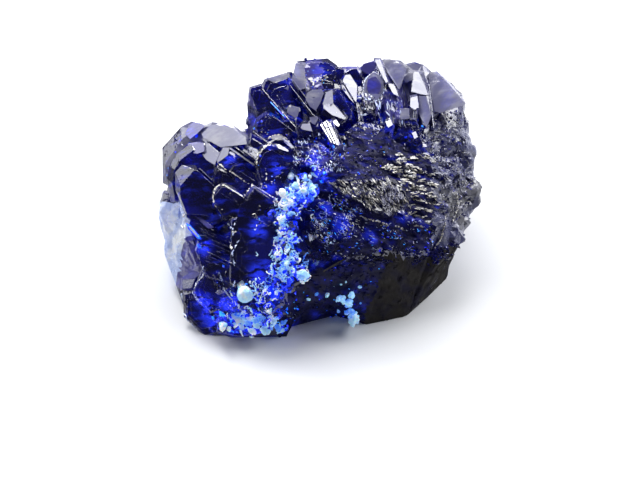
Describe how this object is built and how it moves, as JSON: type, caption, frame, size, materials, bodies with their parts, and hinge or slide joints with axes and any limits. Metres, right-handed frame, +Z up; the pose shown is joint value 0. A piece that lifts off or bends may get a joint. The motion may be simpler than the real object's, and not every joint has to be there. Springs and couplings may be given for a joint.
{
  "type": "azurite crystal cluster",
  "caption": "Cluster of deep blue bladed azurite crystals grown as two fans, with a rough broken face and pale grains in the seam between them; stands on a flat cut.",
  "frame": {"origin": "on the surface it stands on, under the middle of its bounding box", "axes": "+Z up, +X to the right as seen from the front, +Y away from the front"},
  "size_m": [0.0222, 0.0186, 0.0116],
  "materials": {
    "azurite": "glassy, deep blue, see-through at thin edges",
    "pale_grains": "translucent pale blue-white grains"
  },
  "bodies": {
    "root": {"azurite_cluster": "azurite", "seam_crust": "pale_grains", "round_grain": "pale_grains", "foot_grains": "pale_grains"}
  },
  "joints": []
}
